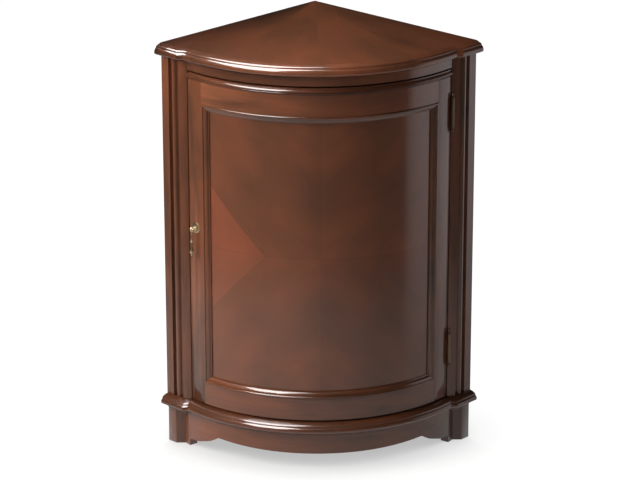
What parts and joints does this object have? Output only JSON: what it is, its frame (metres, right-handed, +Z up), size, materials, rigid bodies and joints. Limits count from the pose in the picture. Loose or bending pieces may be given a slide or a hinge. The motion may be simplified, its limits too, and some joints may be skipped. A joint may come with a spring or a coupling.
{
  "type": "corner cupboard",
  "caption": "Low corner cupboard in dark polished wood with a bowed door, fluted corner returns, moulded top and base, and bracket feet.",
  "frame": {"origin": "on the floor under the middle of the bounding box", "axes": "+Z up, the bowed door faces -Y, the room corner is at +Y, +X to the right seen from the front"},
  "size_m": [0.6506, 0.495, 0.853],
  "materials": {
    "lacquered_wood": "polished",
    "veneer": "polished",
    "inside_wood": "satin",
    "aged_brass": "aged",
    "dark_bronze": "dark patina",
    "steel": "satin"
  },
  "bodies": {
    "carcase": {"top_board": "lacquered_wood", "frieze_rail": "lacquered_wood", "left_post": "lacquered_wood", "right_post": "lacquered_wood", "left_side_panel": "inside_wood", "right_side_panel": "inside_wood", "back_corner_post": "inside_wood", "left_top_cleat": "inside_wood", "right_top_cleat": "inside_wood", "left_shelf_cleat": "inside_wood", "right_shelf_cleat": "inside_wood", "shelf": "inside_wood", "bottom_board": "inside_wood", "base_moulding_bow": "lacquered_wood", "base_moulding_left": "lacquered_wood", "base_moulding_right": "lacquered_wood", "plinth_front": "lacquered_wood", "left_front_foot": "lacquered_wood", "right_front_foot": "lacquered_wood", "left_plinth_side": "inside_wood", "right_plinth_side": "inside_wood", "left_glue_block": "inside_wood", "right_glue_block": "inside_wood", "rear_foot": "inside_wood", "lower_hinge_post_leaf": "dark_bronze", "lower_hinge_pin": "dark_bronze", "upper_hinge_post_leaf": "dark_bronze", "upper_hinge_pin": "dark_bronze", "catch_case": "steel"},
    "door": {"left_stile": "lacquered_wood", "right_stile": "lacquered_wood", "top_rail": "lacquered_wood", "bottom_rail": "lacquered_wood", "door_top_bead": "lacquered_wood", "door_panel": "veneer", "panel_moulding_top": "lacquered_wood", "panel_moulding_bottom": "lacquered_wood", "panel_moulding_left": "lacquered_wood", "panel_moulding_right": "lacquered_wood", "lower_hinge_door_leaf": "dark_bronze", "upper_hinge_door_leaf": "dark_bronze", "pull_rosette": "aged_brass", "pull_eye": "aged_brass", "pull_nut": "aged_brass", "catch_strike": "steel"},
    "drop_pull": {"pull_drop": "aged_brass"}
  },
  "joints": [
    {"name": "door_hinge", "type": "hinge", "parent": "carcase", "child": "door", "pos_m": [0.2636, -0.10574, 0.465], "axis": [0, 0, 1], "range_deg": [0, 110]},
    {"name": "pull_swing", "type": "hinge", "parent": "door", "child": "drop_pull", "pos_m": [-0.25608, -0.12665, 0.484], "axis": [-0.6699, 0.7424, 0], "range_deg": [0, 80]}
  ]
}
